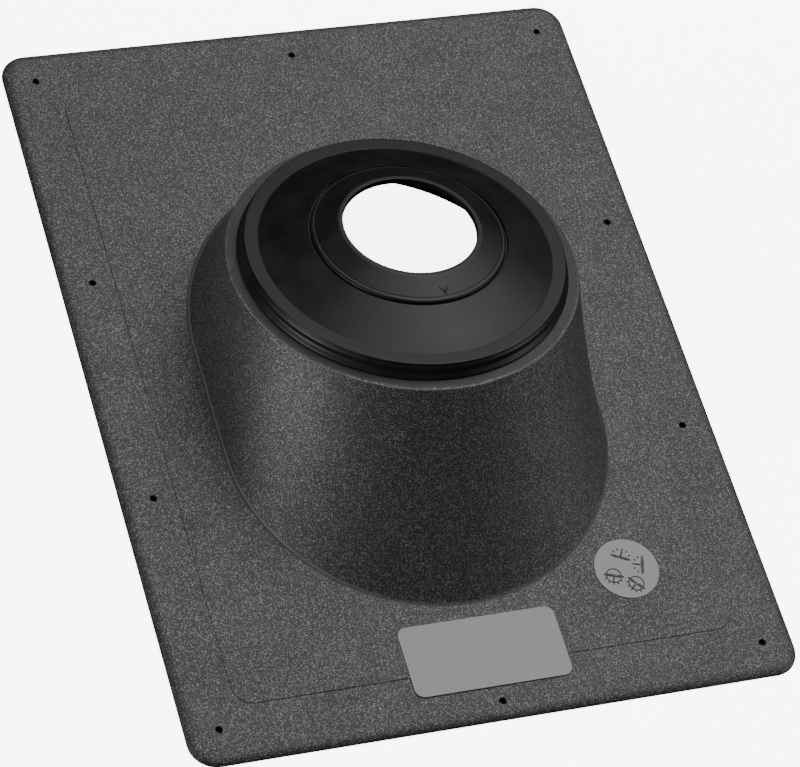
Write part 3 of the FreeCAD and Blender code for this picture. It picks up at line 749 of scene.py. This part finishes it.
class FLASHING_OT_pads(bpy.types.Operator):
    """Make the smooth label pad and date pad, which stand on the plate"""

    bl_idname = "flashing.pads"
    bl_label = "Label and date pads"

    def execute(self, context):
        settings = context.scene.flashing
        plate, pads = settings.plate, settings.pads
        half_x, half_y = BASE_HIGH.x, BASE_HIGH.y
        top = plate.thickness + plate.field_rise + pads.rise
        sunk = plate.thickness - PAD_SUNK
        quarter = np.linspace(0, math.pi / 2, 5)
        sides = [(0, sunk)] + [(pads.edge * (1 - math.cos(turn)), top - pads.edge * (1 - math.sin(turn)))
                               for turn in quarter]

        def label(inset):
            """The label pad's outline: a rounded rectangle, inside its edge by an inset."""
            return rounded_rectangle(pads.label_width / 2 - inset, pads.label_length / 2 - inset,
                                     pads.label_corner - inset, -pads.label_left, pads.label_end - half_y, 10)

        def date(inset):
            """The date pad's outline: a circle, inside its edge by an inset."""
            return circle(half_x - pads.date_side, pads.date_end - half_y, pads.date_radius - inset, 96)

        for name, outline in (("label_pad", label), ("date_pad", date)):
            skin = Skin()
            rings = skin.strip(np.stack([at_height(outline(inset), height) for inset, height in sides]))
            skin.flat(rings[-1])
            skin.flat(rings[0])
            piece = skin.piece(name, finish_of(polished_polyethylene))
        return {"FINISHED"}


class FLASHING_OT_collar(bpy.types.Operator):
    """Make the rubber collar: one rounded section carried round the tilted axis"""

    bl_idname = "flashing.collar"
    bl_label = "Rubber collar"

    def execute(self, context):
        settings = context.scene.flashing
        boot, collar = settings.boot, settings.collar
        lip_outer = collar.hole_radius + collar.lip_width
        slope, cone = cone_slope(collar), partial(cone_height, collar)
        bead, tear = collar.tear_radius - collar.pull_bead, collar.tear_radius
        groove = tear + collar.tear_width
        floor = cone(groove) - collar.tear_depth
        socket = boot.neck_inner + boot.neck_wall + collar.fit_gap
        socket_top = boot.neck_rise + collar.fit_gap - boot.shoulder_drop
        under = collar.band_inner - (socket_top + collar.band_step + collar.cone_wall) / slope
        crease = bead - CREASE_WIDTH
        # the section's corners from the lip outwards and back inside: radius, height and rounding
        corners = [
            (collar.hole_radius, collar.lip_height, 0.5 * MM),
            (lip_outer, collar.lip_height, 0.6 * MM),
            (bead - CREASE_WIDTH * 2, cone(bead - CREASE_WIDTH * 2), 0.15 * MM),
            (crease, cone(crease) - collar.crease, 0.15 * MM),
            (bead, cone(bead), 0.1 * MM),
            (bead + collar.pull_bead / 2, cone(bead + collar.pull_bead / 2) + collar.pull_rise, 0.4 * MM),
            (tear, cone(tear), 0.15 * MM),
            (tear + collar.tear_width / 4, floor, 0.2 * MM),
            (tear + collar.tear_width * 3 / 4, floor, 0.2 * MM),
            (groove, cone(groove), 0.15 * MM),
            (collar.band_inner, -collar.band_step, 0.4 * MM),
            (collar.band_inner + 0.15 * MM, 0.0, 0.15 * MM),
            (collar.rim_radius, 0.0, collar.rim_round),
            *[(getattr(collar, name) + out * MM, height * MM, rounding * MM)
              for name, out, height, rounding in SKIRT],
            (collar.skirt_foot, -boot.shoulder_drop, 0.1 * MM),
            (socket, -boot.shoulder_drop, 0.1 * MM),
            (socket, socket_top, 0.1 * MM),
            (under, socket_top, 0.2 * MM),
            (lip_outer, collar.lip_height - collar.lip_depth, 0.4 * MM),
            (collar.hole_radius, collar.lip_height - collar.lip_depth, 0.3 * MM),
        ]
        section = rounded_profile(corners, 4)
        turned = np.arange(COLLAR_STEPS) / COLLAR_STEPS * 2 * math.pi
        radius, height = section[:, :1], section[:, 1:]
        rings = tilted(collar, radius * np.cos(turned), radius * np.sin(turned),
                       np.broadcast_to(height, (len(section), len(turned))))
        skin = Skin()
        skin.strip(rings, closed=True)
        piece = skin.piece("rubber_collar", finish_of(moulded_rubber))
        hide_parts("pipe_collar")
        return {"FINISHED"}


class FLASHING_OT_mark(bpy.types.Operator):
    """Make the raised mark that shows where to grip the collar's inner ring"""

    bl_idname = "flashing.mark"
    bl_label = "Pull mark"

    def execute(self, context):
        collar = context.scene.flashing.collar
        cosine, sine = math.cos(collar.mark_turn), math.sin(collar.mark_turn)

        def on_cone(along, across, height):
            """A spot given along and across the mark's radius, on the cone's face."""
            x, y = along * cosine - across * sine, along * sine + across * cosine
            return tilted(collar, x, y, cone_height(collar, np.hypot(x, y)) + height)

        tip, half = collar.mark_tip, collar.mark_width / 2
        back = tip - collar.mark_length
        skin = Skin()
        for start, end in (((back, -half), (tip, 0)), ((back, half), (tip, 0)),
                           ((back + collar.mark_length / 4, 0), (tip - collar.mark_length / 3, 0))):
            skin.ridge(start, end, collar.mark_stroke, collar.mark_relief, on_cone)
        piece = skin.piece("pull_mark", finish_of(moulded_rubber))
        return {"FINISHED"}


# each date dial: its place from the middle of the pad in mm, the turn of its pointer, whether it is ringed
DIALS = ((-7.9, -2.9, math.radians(-108), True), (2.4, -9.0, math.radians(-139), True),
         (-1.2, 6.6, math.radians(63), False), (8.8, 0.7, math.radians(164), False))
# reaches as shares of the dial's radius, and widths as shares of a stroke's
TICKS, STEM_END, TICK_START, TICK_END = 7, 0.9, 1.12, 1.3
HOOP_SHARE, TICK_SHARE = 0.6, 0.7


class FLASHING_OT_dials(bpy.types.Operator):
    """Make the four date dials on the date pad, each with only a pointer and a half circle of ticks"""

    bl_idname = "flashing.dials"
    bl_label = "Date dials"

    def execute(self, context):
        settings = context.scene.flashing
        plate, pads = settings.plate, settings.pads
        top = plate.thickness + plate.field_rise + pads.rise
        radius, quarter = pads.dial_radius, math.pi / 2
        skin = Skin()

        def on_pad(x, y, height):
            """A spot on the date pad's top, lifted by a height."""
            return np.stack(np.broadcast_arrays(x, y, top + height), -1)

        def bar(middle, start, end, turn, width):
            """A bar between two spots of a dial, both given as (reach, angle) and turned with the dial."""
            spots = [(middle[0] + reach * math.cos(angle + turn), middle[1] + reach * math.sin(angle + turn))
                     for reach, angle in (start, end)]
            skin.ridge(*spots, width, pads.relief, on_pad)

        for x, y, turn, ringed in DIALS:
            middle = (BASE_HIGH.x - pads.date_side + x * MM, pads.date_end - BASE_HIGH.y + y * MM)
            # the pointer: a broad bar across the dial and a stem to one side
            bar(middle, (radius, quarter), (radius, -quarter), turn, pads.pointer)
            bar(middle, (0, 0), (radius * STEM_END, 0), turn, pads.stroke)
            if ringed:
                skin.hoop(*middle, radius, pads.stroke * HOOP_SHARE, pads.relief, on_pad)
            for tick in np.linspace(-quarter, quarter, TICKS):
                bar(middle, (radius * TICK_START, tick), (radius * TICK_END, tick), turn,
                    pads.stroke * TICK_SHARE)
        piece = skin.piece("date_dials", finish_of(grained_polyethylene))
        return {"FINISHED"}


# the studio, in metres: each softbox's place, width and height, the flag's corners in y and z at one x,
# and the camera's place and axes
SOFTBOXES = {"overhead": ((0.88, 1.0, 2.45), 2.3, 2.4),
             "left": ((-1.12, -0.28, 0.22), 0.35, 0.4),
             "right": ((1.08, -0.5, 0.3), 0.35, 0.6)}
AIM = Vector((0, 0, 0.03))
FLAG_X, FLAG_CORNERS = -0.3, ((-0.3, 0), (0.4, 0), (0.4, 0.04), (-0.3, 0.04))
CAMERA_PLACE = (-0.589168, -0.907617, 1.512909)
CAMERA_RIGHT = (0.93975, -0.27260, 0.20632)
CAMERA_UP = (0.12331, 0.83315, 0.53912)
CAMERA_BACK = (-0.31886, -0.48119, 0.81657)
FLOOR_GLOW = 7.0
FLOOR_DROP, CARD_DROP, CARD_MARGIN = 0.3 * MM, 0.1 * MM, 2 * MM
NEAR_BLACK, ROOM_GREY = (0.01, 0.01, 0.01, 1), (0.016, 0.016, 0.016, 1)


class FLASHING_OT_stage(bpy.types.Operator):
    """Make the pale floor, the soft studio light and the camera"""

    bl_idname = "flashing.stage"
    bl_label = "Floor, light and camera"

    def execute(self, context):
        studio = context.scene.flashing.studio
        self.floor(studio)
        # painted shade: a black card under the plate stands for the shade there
        self.card(context.scene.flashing)
        self.flag()
        self.world(context)
        for name, (place, width, height) in SOFTBOXES.items():
            self.softbox(name + "_softbox", getattr(studio, name), place, width, height)
        self.camera(context, studio)
        return {"FINISHED"}

    def sheet(self, name, corners, material):
        """A stage piece of one face, given by its four corners."""
        mesh = bpy.data.meshes.new(name)
        mesh.from_pydata(corners, [], [(0, 1, 2, 3)])
        mesh.materials.append(material)
        thing = bpy.data.objects.new(name, mesh)
        bpy.context.scene.collection.objects.link(thing)
        return thing

    def floor(self, studio):
        """A level square of translucent white sheet, lit evenly from below."""
        half, drop = studio.floor / 2, -FLOOR_DROP
        made, tree, output = new_material("white_acrylic_sheet")
        shader = add_node(tree, "ShaderNodeBsdfPrincipled", {
            "Base Color": rgba(studio.white), "Roughness": 0.8, "Emission Color": rgba(studio.white),
            "Emission Strength": FLOOR_GLOW})
        tree.links.new(shader.outputs["BSDF"], output.inputs["Surface"])
        thing = self.sheet("floor", [(-half, -half, drop), (half, -half, drop),
                                     (half, half, drop), (-half, half, drop)], made)
        thing.visible_glossy = False
        thing.visible_diffuse = False

    def card(self, settings):
        """A thin black card between floor and plate, open under the boot: painted shade where the plate
        shades the glowing floor, so that nail holes look dark.
        """
        plate, boot = settings.plate, settings.boot
        skin = Skin()
        outline = rounded_rectangle(BASE_HIGH.x - CARD_MARGIN, BASE_HIGH.y - CARD_MARGIN,
                                    plate.corner - CARD_MARGIN)
        outer = skin.strip(at_height(outline, -CARD_DROP)[None])
        inner = skin.strip(foot_ring(boot, 2 * boot.wall)[None] - (0, 0, CARD_DROP))
        skin.flat(outer[0], [inner[0]])
        made, tree, output = new_material("black_card")
        shader = add_node(tree, "ShaderNodeBsdfPrincipled", {"Base Color": NEAR_BLACK, "Roughness": 0.9})
        tree.links.new(shader.outputs["BSDF"], output.inputs["Surface"])
        skin.thing("black_card", made)

    def flag(self):
        """A low upright black flag at the left, unseen, that keeps the left softbox off the plate's edge."""
        thing = self.sheet("left_flag", [(FLAG_X, y, z) for y, z in FLAG_CORNERS],
                           bpy.data.materials["black_card"])
        thing.visible_camera = False

    def world(self, context):
        """Even pale light from above the horizon, fading to near black below it."""
        world = bpy.data.worlds.new("studio_room")
        context.scene.world = world
        world.use_nodes = True
        tree = world.node_tree
        tree.nodes.clear()
        direction = add_node(tree, "ShaderNodeTexCoord").outputs["Generated"]
        up = add_node(tree, "ShaderNodeSeparateXYZ", {"Vector": direction}).outputs["Z"]
        level = add_node(tree, "ShaderNodeMapRange", {"Value": up, "From Min": -0.1, "From Max": 0.25})
        tone = add_node(tree, "ShaderNodeMix", {"Factor": level.outputs["Result"], "A": NEAR_BLACK,
                                                "B": ROOM_GREY}, data_type="RGBA")
        background = add_node(tree, "ShaderNodeBackground", {"Color": tone.outputs["Result"]})
        output = tree.nodes.new("ShaderNodeOutputWorld")
        tree.links.new(background.outputs["Background"], output.inputs["Surface"])

    def softbox(self, name, power, place, width, height):
        """A rectangular area lamp aimed at the foot of the boot."""
        lamp = bpy.data.lights.new(name, "AREA")
        lamp.shape = "RECTANGLE"
        lamp.size, lamp.size_y = width, height
        lamp.energy = power
        thing = bpy.data.objects.new(name, lamp)
        bpy.context.scene.collection.objects.link(thing)
        thing.location = place
        thing.rotation_euler = (AIM - thing.location).to_track_quat("-Z", "Y").to_euler()

    def camera(self, context, studio):
        """The camera: in front and to the left, looking down on the boot."""
        lens = bpy.data.cameras.new("camera")
        lens.lens = studio.lens
        lens.sensor_width = 36.0
        lens.clip_start, lens.clip_end = 0.05, 50.0
        thing = bpy.data.objects.new("camera", lens)
        context.scene.collection.objects.link(thing)
        turned = Matrix((CAMERA_RIGHT, CAMERA_UP, CAMERA_BACK)).transposed().to_4x4()
        thing.matrix_world = Matrix.Translation(CAMERA_PLACE) @ turned
        context.scene.camera = thing


class FLASHING_PT_panel(bpy.types.Panel):
    """The flashing's operators and sizes"""

    bl_label = "Pipe flashing boot"
    bl_idname = "FLASHING_PT_panel"
    bl_space_type = "VIEW_3D"
    bl_region_type = "UI"
    bl_category = "Flashing"

    def draw(self, context):
        settings = context.scene.flashing
        for operator in OPERATORS:
            self.layout.operator(operator.bl_idname)
        for group in ("plate", "boot", "collar", "pads", "finish", "studio"):
            box = self.layout.box()
            box.label(text=group.capitalize())
            sizes = getattr(settings, group)
            for name in sizes.__annotations__:
                box.prop(sizes, name)


OPERATORS = (FLASHING_OT_stage, FLASHING_OT_base, FLASHING_OT_pads, FLASHING_OT_dials,
             FLASHING_OT_collar, FLASHING_OT_mark)
CLASSES = (PlateSizes, BootSizes, CollarSizes, PadSizes, Finishes, StudioSizes, FlashingSettings,
           *OPERATORS, FLASHING_PT_panel)


def register():
    """Register the classes and hang the settings on the scene."""
    for item in CLASSES:
        bpy.utils.register_class(item)
    bpy.types.Scene.flashing = bpy.props.PointerProperty(type=FlashingSettings)


def unregister():
    """Undo register."""
    del bpy.types.Scene.flashing
    for item in reversed(CLASSES):
        bpy.utils.unregister_class(item)


def main():
    """Make every piece in order."""
    register()
    bpy.ops.flashing.stage()
    bpy.ops.flashing.base()
    bpy.ops.flashing.pads()
    bpy.ops.flashing.dials()
    bpy.ops.flashing.collar()
    bpy.ops.flashing.mark()


if __name__ == "__main__":
    main()
